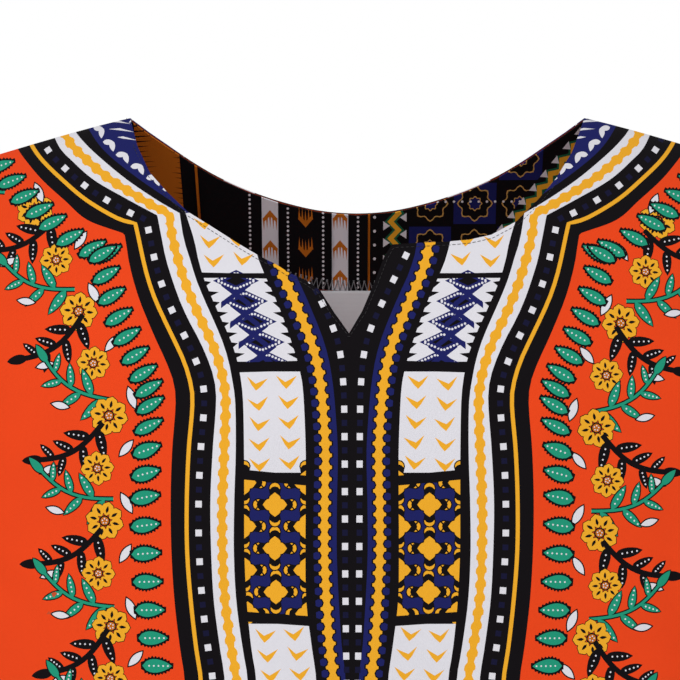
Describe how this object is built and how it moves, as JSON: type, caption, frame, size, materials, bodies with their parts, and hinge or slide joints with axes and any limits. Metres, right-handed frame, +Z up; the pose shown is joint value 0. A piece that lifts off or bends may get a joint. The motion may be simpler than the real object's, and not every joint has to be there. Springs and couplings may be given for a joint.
{
  "type": "dashiki shirt",
  "caption": "Loose cotton dashiki shirt in its worn form, with a wide round neck, a short front slit, a patterned border, short straight sleeves and an open hem.",
  "frame": {"origin": "midway between the two neck points, where the shoulder seams meet the neck and the wearer's shoulders hold the shirt up", "axes": "+Z up from hem to shoulders, -Y out of the front, +X to the wearer's left"},
  "size_m": [0.765, 0.256, 0.79],
  "materials": {
    "printed_cotton": "plain-weave cotton, printed in orange, black, white, yellow, navy and teal, dull with a slight sheen",
    "sleeve_cotton": "the same plain-weave cotton, orange",
    "facing_cotton": "the same cotton, printed in stripes on black, with an overlocked lower edge",
    "label_satin": "thin white satin ribbon, blank"
  },
  "bodies": {
    "root": {"front_panel": "printed_cotton", "back_panel": "printed_cotton", "sleeve_left": "sleeve_cotton", "sleeve_right": "sleeve_cotton", "front_neck_facing": "facing_cotton", "back_neck_facing": "facing_cotton", "care_label": "label_satin"}
  },
  "joints": []
}
